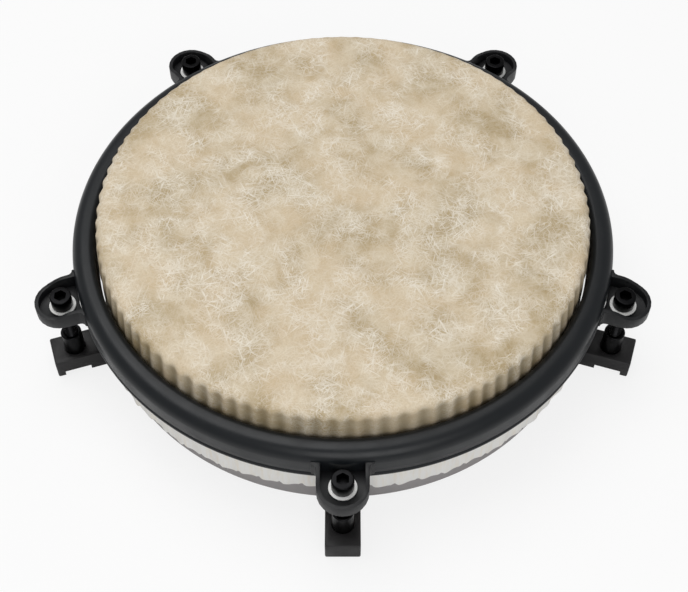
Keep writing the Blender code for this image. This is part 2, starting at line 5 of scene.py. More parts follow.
import bpy
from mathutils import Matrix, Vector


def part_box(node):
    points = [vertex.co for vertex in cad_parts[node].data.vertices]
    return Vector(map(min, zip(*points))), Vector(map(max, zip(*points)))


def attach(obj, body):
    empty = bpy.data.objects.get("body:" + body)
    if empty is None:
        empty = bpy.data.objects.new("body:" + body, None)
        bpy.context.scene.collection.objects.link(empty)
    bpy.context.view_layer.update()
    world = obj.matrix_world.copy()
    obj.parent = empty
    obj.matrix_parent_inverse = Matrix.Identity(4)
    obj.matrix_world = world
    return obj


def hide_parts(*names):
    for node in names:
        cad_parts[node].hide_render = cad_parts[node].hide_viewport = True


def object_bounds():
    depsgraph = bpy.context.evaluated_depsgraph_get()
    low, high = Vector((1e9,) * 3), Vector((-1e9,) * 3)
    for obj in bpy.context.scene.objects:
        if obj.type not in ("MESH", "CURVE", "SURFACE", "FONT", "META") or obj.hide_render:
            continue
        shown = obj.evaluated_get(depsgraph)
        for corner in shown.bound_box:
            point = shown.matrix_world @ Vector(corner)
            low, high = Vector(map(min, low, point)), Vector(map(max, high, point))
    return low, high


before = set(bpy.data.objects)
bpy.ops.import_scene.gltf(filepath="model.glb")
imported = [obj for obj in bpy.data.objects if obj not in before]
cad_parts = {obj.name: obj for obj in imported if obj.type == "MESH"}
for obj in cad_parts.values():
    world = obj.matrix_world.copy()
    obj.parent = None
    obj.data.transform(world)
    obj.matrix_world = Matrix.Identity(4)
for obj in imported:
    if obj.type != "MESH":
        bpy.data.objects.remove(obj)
cad_low, cad_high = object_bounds()

bl_info = {
    "name": "Flat travel conga",
    "version": (1, 0, 0),
    "blender": (4, 5, 0),
    "location": "View3D > Sidebar > Conga",
    "description": "Models a flat travel conga round its packed solids",
    "category": "Add Mesh",
}

MM = 0.001
LUGS = range(1, 6)
SMOOTH_ANGLE = radians(38)
BEVEL_ANGLE = radians(35)
FLAT_ANGLE = radians(1)
MERGE_DISTANCE = 0.01 * MM
RING_STEPS = 320
SMALL_RING_STEPS = 64

# The Mix node's colour sockets share their names with its other sockets, so they go by number.
MIX_COLOURS = (6, 7)
MIX_RESULT = 2


def linear_colour(hex_code):
    """Turn an sRGB hex code into the linear colour that a shader takes."""
    channels = [int(hex_code[place:place + 2], 16) / 255 for place in (0, 2, 4)]
    return [c / 12.92 if c <= 0.04045 else ((c + 0.055) / 1.055) ** 2.4 for c in channels]


def length(name, description, default):
    """A length property in metres."""
    return bpy.props.FloatProperty(name=name, description=description, default=default, unit="LENGTH")


def colour(name, description, hex_code):
    """A colour property whose default is an sRGB hex code."""
    return bpy.props.FloatVectorProperty(name=name, description=description, subtype="COLOR", size=3,
                                         min=0.0, max=1.0, default=linear_colour(hex_code))


class CongaHeadSizes(bpy.types.PropertyGroup):
    """Sizes of the skin."""

    face_radius: length("Face radius", "Flat part of the playing face", 147.05 * MM)
    edge_rounding: length("Edge rounding", "Radius over the bearing edge", 5.0 * MM)
    film: length("Film", "Thickness of the skin", 0.6 * MM)
    pleats: bpy.props.IntProperty(name="Pleats", description="Pleats round the collar", default=96)
    pleat_height: length("Pleat height", "How far a pleat stands out", 0.8 * MM)
    notches: bpy.props.IntProperty(name="Notches", description="Notches round the tail", default=76)
    notch_height: length("Notch height", "How far a notch cuts into the tail", 2.6 * MM)


class CongaRimSizes(bpy.types.PropertyGroup):
    """Sizes of the rolled rim."""

    width: length("Width", "From the outer wall to the inner skirt", 14.3 * MM)
    inner_skirt: length("Inner skirt", "How far the inner skirt reaches below the crown", 14.1 * MM)
    inner_rounding: length("Inner rounding", "Radius of the crown's inner edge", 4.0 * MM)
    outer_rounding: length("Outer rounding", "Radius of the crown's outer edge", 8.0 * MM)
    sheet: length("Sheet", "Thickness of the rim's sheet", 3.0 * MM)
    hem: length("Hem", "Radius of the bead along the lip", 1.9 * MM)


class CongaShellSizes(bpy.types.PropertyGroup):
    """Sizes of the shell ring."""

    wall: length("Wall", "Thickness of the ring", 9.0 * MM)
    foot_rounding: length("Foot rounding", "Radius along both edges of the foot", 1.5 * MM)
    skin_gap: length("Skin gap", "Gap between the bearing edge and the skin", 0.3 * MM)


class CongaBoltSizes(bpy.types.PropertyGroup):
    """Sizes of a tension bolt."""

    head: length("Head", "Diameter of the head", 13.0 * MM)
    shank: length("Shank", "Diameter over the thread", 8.0 * MM)
    pitch: length("Pitch", "Height of one thread", 1.25 * MM)
    key: length("Key", "Width of the socket across its flats", 7.0 * MM)
    key_depth: length("Key depth", "Depth of the socket", 5.5 * MM)


class CongaColours(bpy.types.PropertyGroup):
    """Colours of the finishes."""

    film: colour("Film", "Main tan of the fibre film", "CBB797")
    film_patch: colour("Film patch", "Olive brown of the film's patches", "AB9772")
    film_pale: colour("Film pale", "Palest tan of the film", "DFD3BC")
    film_fibre: colour("Film fibre", "Pale fibres in the film", "F0EBE0")
    # Painted shade: the olive that the collar and the pleat hollows are darkened towards.
    film_painted_shade: colour("Film crease", "Shaded olive between the pleats", "6E603F")
    tail: colour("Tail", "Loose end of the skin", "E2E1DE")
    shell: colour("Shell", "Painted shell", "4C4848")
    rim: colour("Rim", "Powder coat of the rim", "14171A")
    ear: colour("Ear", "Powder coat of the ears", "121315")
    block: colour("Block", "Moulded lug block", "1B1A1B")
    bolt: colour("Bolt", "Blackened steel", "1A1A1B")
    washer: colour("Washer", "White nylon", "ECECEA")
    zinc: colour("Zinc", "Zinc plate inside the shell", "A8ABAD")


PROPERTY_GROUPS = {
    "conga_head": CongaHeadSizes,
    "conga_rim": CongaRimSizes,
    "conga_shell": CongaShellSizes,
    "conga_bolt": CongaBoltSizes,
    "conga_colours": CongaColours,
}


def add_node(tree, kind, settings=None, links=None):
    """Add a node, set its properties and inputs by name or number, and link its inputs."""
    node = tree.nodes.new(kind)
    for key, value in (settings or {}).items():
        if isinstance(key, str) and hasattr(node, key):
            setattr(node, key, value)
        else:
            node.inputs[key].default_value = value
    for key, source in (links or {}).items():
        tree.links.new(source, node.inputs[key])
    return node


def new_material(name, base, roughness, metallic=0.0, specular=0.5):
    """A Principled material, with its tree, shader and Object coordinates."""
    material = bpy.data.materials.new(name)
    material.use_nodes = True
    tree = material.node_tree
    shader = tree.nodes["Principled BSDF"]
    shader.inputs["Base Color"].default_value = (*base, 1.0)
    shader.inputs["Roughness"].default_value = roughness
    shader.inputs["Metallic"].default_value = metallic
    shader.inputs["Specular IOR Level"].default_value = specular
    place = add_node(tree, "ShaderNodeTexCoord").outputs["Object"]
    return material, tree, shader, place


def noise(tree, place, size, detail=3.0, stretch=(1, 1, 1), turn=0.0, distortion=0.0):
    """Noise whose cells measure about size metres, stretched along an axis turned about Z."""
    turned = add_node(tree, "ShaderNodeMapping", {"Rotation": (0, 0, turn)}, {"Vector": place})
    scaled = add_node(tree, "ShaderNodeMapping", {"Scale": stretch}, {"Vector": turned.outputs[0]})
    texture = add_node(tree, "ShaderNodeTexNoise",
                       {"Scale": 1 / size, "Detail": detail, "Distortion": distortion},
                       {"Vector": scaled.outputs[0]})
    return texture.outputs[0]


def remap(tree, value, low, high, to_low=0.0, to_high=1.0):
    """Spread a value from one range to another, clamped."""
    spread = add_node(tree, "ShaderNodeMapRange",
                      {"From Min": low, "From Max": high, "To Min": to_low, "To Max": to_high},
                      {"Value": value})
    return spread.outputs[0]


def mix(tree, factor, under, over):
    """Lay one colour or socket over another by a factor socket."""
    node = add_node(tree, "ShaderNodeMix", {"data_type": "RGBA"}, {0: factor})
    for index, side in zip(MIX_COLOURS, (under, over)):
        if isinstance(side, bpy.types.NodeSocket):
            tree.links.new(side, node.inputs[index])
        else:
            node.inputs[index].default_value = (*side, 1.0)
    return node.outputs[MIX_RESULT]


def combine(tree, operation, first, second):
    """Join two value sockets, or a socket and a number, by a Math node."""
    if isinstance(second, bpy.types.NodeSocket):
        return add_node(tree, "ShaderNodeMath", {"operation": operation}, {0: first, 1: second}).outputs[0]
    return add_node(tree, "ShaderNodeMath", {"operation": operation, 1: second}, {0: first}).outputs[0]


def bump(tree, shader, height, distance):
    """Roughen the surface by a height socket and a depth in metres."""
    node = add_node(tree, "ShaderNodeBump", {"Distance": distance}, {"Height": height})
    tree.links.new(node.outputs[0], shader.inputs["Normal"])


def strokes(tree, place, width, reach, turns, low, high):
    """Short straight strokes lying several ways, as fibres lie in a film."""
    total = None
    for turn in turns:
        layer = noise(tree, place, width, detail=2.0, stretch=(1, width / reach, 1), turn=radians(turn),
                      distortion=1.1)
        line = remap(tree, layer, low, high)
        total = line if total is None else combine(tree, "MAXIMUM", total, line)
    return total


def strands(tree, place, spacing, width):
    """Long curling fibres, drawn as the level lines of a slow noise."""
    slow = noise(tree, place, spacing, detail=2.0, distortion=1.4)
    offset = combine(tree, "ABSOLUTE", combine(tree, "SUBTRACT", slow, 0.5), 0.0)
    return remap(tree, offset, 0.0, width, 1.0, 0.0)


def fibre_film(colours):
    """Fibre-filled polyester film: tan, cloudy, with pale fibres pressed in every direction, and painted
    shade over the collar and in its pleat hollows.
    """
    patch_size, cloud_size, cluster_size, grain_size = 45 * MM, 17 * MM, 24 * MM, 1.1 * MM
    fibre_width, fibre_reach, fibre_turns = 0.9 * MM, 11 * MM, (12, 48, 83, 121, 157)
    strand_spacing, close_strand_spacing = 30 * MM, 18 * MM
    cloud_amount, grain_amount, strand_amount, fibre_amount = 0.55, 0.3, 0.8, 0.75
    material, tree, shader, place = new_material("fibre_film", colours.film, roughness=0.55, specular=0.3)
    patches = remap(tree, noise(tree, place, patch_size, detail=5.0), 0.42, 0.6)
    clouds = remap(tree, noise(tree, place, cloud_size, detail=6.0, distortion=0.6), 0.4, 0.66)
    gathering = noise(tree, place, cluster_size, detail=4.0, distortion=0.8)
    clusters = remap(tree, gathering, 0.38, 0.64, 0.25, 1.0)
    grain = remap(tree, noise(tree, place, grain_size, detail=3.0), 0.35, 0.7)
    short = strokes(tree, place, fibre_width, fibre_reach, fibre_turns, 0.54, 0.7)
    loose_strands = strands(tree, place, strand_spacing, 0.012)
    close_strands = strands(tree, place, close_strand_spacing, 0.016)
    long_fine = combine(tree, "MAXIMUM", loose_strands, close_strands)
    pale = combine(tree, "MAXIMUM", short, combine(tree, "MULTIPLY", long_fine, strand_amount))
    pale = combine(tree, "MULTIPLY", pale, clusters)
    ground = mix(tree, patches, colours.film, colours.film_patch)
    ground = mix(tree, combine(tree, "MULTIPLY", clouds, cloud_amount), ground, colours.film_pale)
    speckled = mix(tree, combine(tree, "MULTIPLY", grain, grain_amount), ground, colours.film_patch)
    fibred = mix(tree, combine(tree, "MULTIPLY", pale, fibre_amount), speckled, colours.film_fibre)
    # Painted shade: the head's collar shade attribute darkens the film toward the olive shade colour, a
    # little all down the collar and most in the pleat hollows.
    painted_collar_shade = add_node(tree, "ShaderNodeAttribute", {"attribute_name": "painted_collar_shade"}).outputs["Fac"]
    shaded = mix(tree, painted_collar_shade, fibred, colours.film_painted_shade)
    tree.links.new(shaded, shader.inputs["Base Color"])
    bump(tree, shader, pale, 0.05 * MM)
    return material


def crinkled_film(colours):
    """The same film dry and pale at its cut end, with creases that run down it."""
    crease_spacing = 2.2 * MM
    material, tree, shader, place = new_material("crinkled_film", colours.tail, roughness=0.6, specular=0.35)
    creases = noise(tree, place, crease_spacing, detail=3.0, stretch=(1, 1, 0.12))
    shade = mix(tree, remap(tree, creases, 0.45, 0.75, 0, 0.5), colours.tail, colours.film_pale)
    tree.links.new(shade, shader.inputs["Base Color"])
    bump(tree, shader, creases, 0.3 * MM)
    return material


def powder_coat(name, base, roughness):
    """Baked powder coat: an even satin with a faint orange peel about 1.2 mm across."""
    peel_size, peel_depth, rub_size = 1.2 * MM, 0.02 * MM, 18 * MM
    material, tree, shader, place = new_material(name, base, roughness, specular=0.3)
    bump(tree, shader, noise(tree, place, peel_size, detail=2.0), peel_depth)
    rubbed = noise(tree, place, rub_size, detail=3.0)
    gloss = remap(tree, rubbed, 0.4, 0.7, roughness - 0.04, roughness + 0.06)
    tree.links.new(gloss, shader.inputs["Roughness"])
    return material


def shell_paint(colours):
    """Sprayed matt paint on a plywood ring: warm grey with the faint run of the ply under it."""
    ply_height, spray_size, spray_depth = 2.5 * MM, 0.8 * MM, 0.04 * MM
    material, tree, shader, place = new_material("shell_paint", colours.shell, roughness=0.62, specular=0.35)
    ply = noise(tree, place, ply_height, detail=3.0, stretch=(0.15, 0.15, 1))
    darker = [channel * 0.8 for channel in colours.shell]
    shade = mix(tree, remap(tree, ply, 0.4, 0.7), colours.shell, darker)
    tree.links.new(shade, shader.inputs["Base Color"])
    bump(tree, shader, noise(tree, place, spray_size, detail=2.0), spray_depth)
    return material


def moulded_nylon(name, base, roughness):
    """Glass-filled nylon as moulded: matt, with a fine even grain of about 0.6 mm."""
    grain_size, grain_depth, wear_size = 0.6 * MM, 0.03 * MM, 9 * MM
    material, tree, shader, place = new_material(name, base, roughness, specular=0.4)
    bump(tree, shader, noise(tree, place, grain_size, detail=2.0), grain_depth)
    worn = noise(tree, place, wear_size, detail=3.0)
    gloss = remap(tree, worn, 0.35, 0.7, roughness - 0.06, roughness + 0.08)
    tree.links.new(gloss, shader.inputs["Roughness"])
    return material


def steel(name, base, roughness):
    """Turned steel, blackened or plated: fine tool marks round it that stretch its highlights."""
    mark_spacing, mark_depth, haze_size = 0.5 * MM, 0.015 * MM, 6 * MM
    material, tree, shader, place = new_material(name, base, roughness, metallic=1.0)
    marks = noise(tree, place, mark_spacing, detail=2.0, stretch=(0.2, 0.2, 1))
    bump(tree, shader, marks, mark_depth)
    haze = noise(tree, place, haze_size, detail=3.0)
    gloss = remap(tree, haze, 0.35, 0.7, roughness - 0.05, roughness + 0.1)
    tree.links.new(gloss, shader.inputs["Roughness"])
    return material


def material_for(finish):
    """Each finish is made once and then shared."""
    known = bpy.data.materials.get(finish)
    if known:
        return known
    colours = bpy.context.scene.conga_colours
    makers = {
        "fibre_film": lambda: fibre_film(colours),
        "crinkled_film": lambda: crinkled_film(colours),
        "rim_powder_coat": lambda: powder_coat("rim_powder_coat", colours.rim, roughness=0.36),
        "ear_powder_coat": lambda: powder_coat("ear_powder_coat", colours.ear, roughness=0.42),
        "shell_paint": lambda: shell_paint(colours),
        "block_nylon": lambda: moulded_nylon("block_nylon", colours.block, roughness=0.46),
        "washer_nylon": lambda: moulded_nylon("washer_nylon", colours.washer, roughness=0.4),
        "blackened_steel": lambda: steel("blackened_steel", colours.bolt, roughness=0.32),
        "zinc_plated_steel": lambda: steel("zinc_plated_steel", colours.zinc, roughness=0.34),
    }
    return makers[finish]()


def start_alone():
    """Leave edit mode and deselect everything."""
    if bpy.context.object and bpy.context.object.mode != "OBJECT":
        bpy.ops.object.mode_set(mode="OBJECT")
    bpy.ops.object.select_all(action="DESELECT")


def make_active(piece):
    """Select one piece alone."""
    start_alone()
    piece.select_set(True)
    bpy.context.view_layer.objects.active = piece


def apply_modifier(piece, kind, **settings):
    """Add a modifier with its settings and apply it."""
    make_active(piece)
    modifier = piece.modifiers.new(kind.lower(), kind)
    for key, value in settings.items():
        setattr(modifier, key, value)
    bpy.ops.object.modifier_apply(modifier=modifier.name)


def arc(centre_radius, centre_height, radius, start, end, steps):
    """Points on an arc of the section, angles in degrees, both ends included."""
    angles = [radians(start + (end - start) * step / steps) for step in range(steps + 1)]
    return [(centre_radius + radius * cos(a), centre_height + radius * sin(a)) for a in angles]


def straight(start, end, steps):
    """Points from one to another, without the first."""
    shares = [step / steps for step in range(1, steps + 1)]
    return [tuple(a + (b - a) * share for a, b in zip(start, end)) for share in shares]


def lathe(name, section, steps, closed=True):
    """Draw out a circle ring by ring down a section of (radius, height) points."""
    start_alone()
    points = section + section[:1] if closed else section
    radius, height = points[0]
    bpy.ops.mesh.primitive_circle_add(vertices=steps, radius=radius, location=(0, 0, 0))
    piece = bpy.context.object
    piece.name = name
    bpy.ops.object.mode_set(mode="EDIT")
    bpy.ops.mesh.select_all(action="SELECT")
    bpy.ops.transform.translate(value=(0, 0, height))
    for next_radius, next_height in points[1:]:
        rise = (0, 0, next_height - height)
        bpy.ops.mesh.extrude_region_move(TRANSFORM_OT_translate={"value": rise})
        scale = next_radius / radius
        bpy.ops.transform.resize(value=(scale, scale, 1), center_override=(0, 0, 0))
        radius, height = next_radius, next_height
    bpy.ops.mesh.select_all(action="SELECT")
    if closed:
        bpy.ops.mesh.remove_doubles(threshold=MERGE_DISTANCE)
    else:
        bpy.ops.mesh.fill_holes(sides=0)
    bpy.ops.mesh.select_all(action="SELECT")
    bpy.ops.mesh.normals_make_consistent(inside=False)
    bpy.ops.object.mode_set(mode="OBJECT")
    return piece


def shift_points(piece, rule):
    """Move each point of a round piece by a rule of (angle, radius, height)."""
    for vertex in piece.data.vertices:
        x, y, height = vertex.co
        angle, radius = atan2(y, x), hypot(x, y)
        radius, height = rule(angle, radius, height)
        vertex.co = (radius * cos(angle), radius * sin(angle), height)
    piece.data.update()


def ease(value, start, end):
    """Smooth step from 0 at start to 1 at end."""
    share = min(1.0, max(0.0, (value - start) / (end - start)))
    return share * share * (3 - 2 * share)


def finish_piece(piece, body, finish, slot, *nodes):
    """Shade, colour and hang a piece on its body, in place of its nodes."""
    make_active(piece)
    bpy.ops.object.shade_smooth_by_angle(angle=SMOOTH_ANGLE)
    piece.data.materials.clear()
    piece.data.materials.append(material_for(finish))
    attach(piece, body)
    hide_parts(*nodes)


def copy_of_node(node, name, width, segments=3):
    """A node's own solid with its edges rounded."""
    piece = bpy.data.objects.new(name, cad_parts[node].data.copy())
    bpy.context.scene.collection.objects.link(piece)
    make_active(piece)
    bpy.ops.object.mode_set(mode="EDIT")
    bpy.ops.mesh.select_all(action="SELECT")
    bpy.ops.mesh.remove_doubles(threshold=MERGE_DISTANCE)
    bpy.ops.mesh.dissolve_limited(angle_limit=FLAT_ANGLE)
    bpy.ops.object.mode_set(mode="OBJECT")
    apply_modifier(piece, "BEVEL", width=width, segments=segments, limit_method="ANGLE",
                   angle_limit=BEVEL_ANGLE, use_clamp_overlap=True)
    return piece


def copy_at(piece, name, place):
    """A copy with its own mesh, moved by its points."""
    copy = bpy.data.objects.new(name, piece.data.copy())
    bpy.context.scene.collection.objects.link(copy)
    for vertex in copy.data.vertices:
        vertex.co.x += place[0]
        vertex.co.y += place[1]
    return copy


def node_centre(node):
    """Middle of a node's box, in plan."""
    low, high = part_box(node)
    return ((low.x + high.x) / 2, (low.y + high.y) / 2)


class CONGA_OT_add_head(bpy.types.Operator):
    """Model the playing face, its edge and the pleated collar"""

    bl_idname = "conga.add_head"
    bl_label = "Add head"

    def execute(self, context):
        sizes = context.scene.conga_head
        low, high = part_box("head_film")
        face, rounding, film = sizes.face_radius, sizes.edge_rounding, sizes.film
        face_rings = (20 * MM, 90 * MM)
        edge_steps, collar_steps, steps_per_pleat = 10, 16, 8
        foot = (high.x, low.z)
        inner_foot = (foot[0] - film, foot[1])
        section = [(radius, 0.0) for radius in face_rings]
        section += arc(face, -rounding, rounding, 90, 0, edge_steps)
        section += straight(section[-1], foot, collar_steps)
        section += [inner_foot]
        section += straight(inner_foot, (face + rounding - film, -rounding), collar_steps)
        section += arc(face, -rounding, rounding - film, 0, 90, edge_steps)[1:]
        section += [(radius, -film) for radius in reversed(face_rings)]
        head = lathe("head", section, steps_per_pleat * sizes.pleats, closed=False)

        # Depths below the face where the pleats begin, are full, start to fade and end.
        pleat_top, pleat_full, pleat_fade, pleat_end = 0.3 * MM, 5 * MM, 20 * MM, 30 * MM
        slack = 0.7 * MM
        # Painted shade: the depths below the face where it begins and where it is full, then its share all
        # round and its extra share in the hollows.
        collar_shade_top, collar_shade_full = 0.8 * MM, 6 * MM
        shade_everywhere, shade_in_hollows = 0.2, 0.5

        def swing(angle):
            """Place across the uneven pleats, near -1 in a hollow and near 1 on a ridge."""
            phase = sizes.pleats * angle + 0.9 * sin(7 * angle) + 0.6 * sin(13 * angle + 1)
            return cos(phase) * (0.8 + 0.2 * sin(5 * angle))

        def pleat(angle, radius, height):
            full = ease(-height, pleat_top, pleat_full) * (1 - ease(-height, pleat_fade, pleat_end))
            return radius + full * (slack + sizes.pleat_height * swing(angle)), height

        # Painted shade: each point of the collar gets a share that darkens its colour, a little all round
        # below the face and most in the pleat hollows.
        creases = head.data.attributes.new("painted_collar_shade", "FLOAT", "POINT")
        for vertex, painted_collar_shade in zip(head.data.vertices, creases.data):
            hollow = (1 - swing(atan2(vertex.co.y, vertex.co.x))) / 2
            shade = shade_everywhere + shade_in_hollows * hollow
            painted_collar_shade.value = ease(-vertex.co.z, collar_shade_top, collar_shade_full) * shade
        shift_points(head, pleat)
        finish_piece(head, "drum", "fibre_film", "head_film", "head_film")
        return {"FINISHED"}


class CONGA_OT_add_tail(bpy.types.Operator):
    """Model the skin's loose end, crinkled and notched below the rim"""

    bl_idname = "conga.add_tail"
    bl_label = "Add tail"

    def execute(self, context):
        sizes = context.scene.conga_head
        low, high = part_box("head_tail")
        outer, film = high.x, sizes.film
        top, foot = high.z, low.z
        wall_steps, steps_per_notch = 12, 12
        section = [(outer - film, top), (outer, top)]
        section += straight((outer, top), (outer, foot), wall_steps)
        section += [(outer - film, foot)]
        section += straight((outer - film, foot), (outer - film, top), wall_steps)[:-1]
        tail = lathe("head_tail_skin", section, steps_per_notch * sizes.notches)

        # Each low place of the cut edge, as its angle clockwise from X and its spread in radians.
        low_places = ((radians(128), 0.33), (radians(50), 0.3))
        low_depth, uneven_cut, cut_short = 2.6 * MM, 0.9 * MM, 1.5 * MM
        notch_wave, loose_wave = 0.45 * MM, 0.35 * MM
        held_height, notch_half_share = 4 * MM, 0.14

        def hang(angle, radius, height):
            free = ease(top - height, held_height, top - foot)
            nearest = (sizes.notches * angle / tau + 0.3 * sin(3 * angle)) % 1.0 - 0.5
            notch = max(0.0, 1 - abs(nearest) / notch_half_share) * sizes.notch_height
            lowness = sum(exp(-((angle + place) / spread) ** 2) for place, spread in low_places)
            drop = low_depth * lowness + uneven_cut * sin(9 * angle + 0.6) - cut_short - notch
            wave = notch_wave * cos(sizes.notches * angle + pi) + loose_wave * sin(31 * angle + 1)
            return radius + free * wave, height - free ** 2 * drop

        shift_points(tail, hang)
        finish_piece(tail, "rim_group", "crinkled_film", "head_tail", "head_tail")
        return {"FINISHED"}


class CONGA_OT_add_rim(bpy.types.Operator):
    """Model the rolled rim with its crown, skirts and hem"""

    bl_idname = "conga.add_rim"
    bl_label = "Add rim"

    def execute(self, context):
        sizes = context.scene.conga_rim
        low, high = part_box("rim")
        outer, top, lip = high.x, high.z, low.z
        inner = outer - sizes.width
        skirt_foot = top - sizes.inner_skirt
        sheet, hem = sizes.sheet, sizes.hem
        crown_centre = (outer - sizes.outer_rounding, top - sizes.outer_rounding)
        inner_centre = (inner + sizes.inner_rounding, top - sizes.inner_rounding)
        crown_steps, hem_steps, inner_steps, skirt_steps, wall_steps = 14, 12, 8, 6, 3
        hem_top, hem_start = lip + 2 * hem, 50
        # The groove over the hem: how deep its middle is, and how high its top, middle and foot stand.
        groove, groove_top, groove_middle, groove_foot = 0.5 * MM, 1.2 * MM, 0.7 * MM, 0.2 * MM
        skirt_edge = 0.4 * MM
        section = arc(*crown_centre, sizes.outer_rounding, 90, 0, crown_steps)
        section += straight(section[-1], (outer - groove / 2, hem_top + groove_top), wall_steps)
        section += [(outer - groove, hem_top + groove_middle), (outer - 2 * groove, hem_top + groove_foot)]
        section += arc(outer - hem, lip + hem, hem, hem_start, -180, hem_steps)
        section += [(outer - sheet, hem_top)]
        section += arc(*crown_centre, sizes.outer_rounding - sheet, 0, 90, inner_steps)
        section += [(inner + sheet, top - sheet), (inner + sheet, skirt_foot + skirt_edge)]
        section += arc(inner + sheet / 2, skirt_foot + sheet / 2, sheet / 2, 0, -180, skirt_steps)
        section += arc(*inner_centre, sizes.inner_rounding, 180, 90, inner_steps)
        rim = lathe("rolled_rim", section, RING_STEPS)
        finish_piece(rim, "rim_group", "rim_powder_coat", "rim_coat", "rim")
        return {"FINISHED"}


class CONGA_OT_add_ears(bpy.types.Operator):
    """Round the five ears welded to the rim"""

    bl_idname = "conga.add_ears"
    bl_label = "Add ears"

    def execute(self, context):
        soft = 0.55 * MM
        for lug in LUGS:
            ear = copy_of_node(f"ear_{lug}", f"rim_ear_{lug}", soft)
            finish_piece(ear, "rim_group", "ear_powder_coat", "ear_coat", f"ear_{lug}")
        return {"FINISHED"}


class CONGA_OT_add_washers(bpy.types.Operator):
    """Turn the white washers under the bolt heads"""

    bl_idname = "conga.add_washers"
    bl_label = "Add washers"

    def execute(self, context):
        low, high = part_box("washer_1")
        edge, bore = (high.x - low.x) / 2, 4.4 * MM
        soft, soft_steps = 0.25 * MM, 3
        section = arc(edge - soft, high.z - soft, soft, 90, 0, soft_steps)
        section += arc(edge - soft, low.z + soft, soft, 0, -90, soft_steps)
        section += [(bore, low.z), (bore, high.z)]
        washer = lathe("washer", section, SMALL_RING_STEPS)
        for lug in LUGS:
            copy = copy_at(washer, f"white_washer_{lug}", node_centre(f"washer_{lug}"))
            finish_piece(copy, "rim_group", "washer_nylon", "nylon", f"washer_{lug}")
        bpy.data.objects.remove(washer, do_unlink=True)
        return {"FINISHED"}


class CONGA_OT_add_bolts(bpy.types.Operator):
    """Turn a tension bolt with its thread, sink its socket and copy it to each lug"""

    bl_idname = "conga.add_bolts"
    bl_label = "Add bolts"

    def execute(self, context):
        sizes = context.scene.conga_bolt
        low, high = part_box("tension_bolt_1")
        washer_gap = 0.3 * MM
        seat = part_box("washer_1")[1].z + washer_gap
        head, shank, pitch = sizes.head / 2, sizes.shank / 2, sizes.pitch
        soft, seat_soft, end_ring = 0.7 * MM, 0.3 * MM, 1 * MM
        bolt_steps, soft_steps, seat_steps = 48, 5, 3
        plain_neck, thread_root = 4 * MM, shank - 0.55 * MM
        # Where the thread's root starts and ends and its crest starts, as shares of the pitch.
        root_start, root_end, crest_start = 0.45, 0.55, 0.94
        section = [(end_ring, high.z)] + arc(head - soft, high.z - soft, soft, 90, 0, soft_steps)
        section += arc(head - seat_soft, seat + seat_soft, seat_soft, 0, -90, seat_steps)
        section += [(shank, seat), (shank, seat - plain_neck)]
        height = seat - plain_neck
        while height - pitch > low.z + soft:
            section += [(thread_root, height - pitch * share) for share in (root_start, root_end)]
            section += [(shank, height - pitch * crest_start), (shank, height - pitch)]
            height -= pitch
        section += [(shank - soft, low.z), (end_ring, low.z)]
        bolt = lathe("bolt", section, bolt_steps, closed=False)
        start_alone()
        bpy.ops.mesh.primitive_cylinder_add(vertices=6, radius=sizes.key / 2 / cos(pi / 6),
                                            depth=2 * sizes.key_depth, location=(0, 0, high.z))
        key = bpy.context.object
        apply_modifier(bolt, "BOOLEAN", operation="DIFFERENCE", object=key)
        bpy.data.objects.remove(key, do_unlink=True)
        for lug in LUGS:
            copy = copy_at(bolt, f"threaded_bolt_{lug}", node_centre(f"tension_bolt_{lug}"))
            finish_piece(copy, f"bolt_{lug}", "blackened_steel", "black_steel", f"tension_bolt_{lug}")
        bpy.data.objects.remove(bolt, do_unlink=True)
        return {"FINISHED"}


class CONGA_OT_add_bushings(bpy.types.Operator):
    """Turn the threaded tubes that stand on the blocks"""

    bl_idname = "conga.add_bushings"
    bl_label = "Add bushings"

    def execute(self, context):
        low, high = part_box("bushing_1")
        wall, bore = (high.x - low.x) / 2, 4.3 * MM
        lip, lip_steps, countersink = 1.0 * MM, 6, 0.4 * MM
        section = arc(wall - lip, high.z - lip, lip, 90, 0, lip_steps)
        section += [(wall, low.z), (bore, low.z)]
        section += [(bore, high.z - countersink), (bore + countersink, high.z)]
        bushing = lathe("bushing", section, SMALL_RING_STEPS)
        for lug in LUGS:
            copy = copy_at(bushing, f"threaded_bushing_{lug}", node_centre(f"bushing_{lug}"))
            finish_piece(copy, "drum", "blackened_steel", "bushing_steel", f"bushing_{lug}")
        bpy.data.objects.remove(bushing, do_unlink=True)
        return {"FINISHED"}


class CONGA_OT_add_blocks(bpy.types.Operator):
    """Round the moulded lug blocks"""

    bl_idname = "conga.add_blocks"
    bl_label = "Add blocks"

    def execute(self, context):
        soft = 0.35 * MM
        for lug in LUGS:
            block = copy_of_node(f"lug_block_{lug}", f"slotted_block_{lug}", soft)
            finish_piece(block, "drum", "block_nylon", "block_plastic", f"lug_block_{lug}")
        return {"FINISHED"}


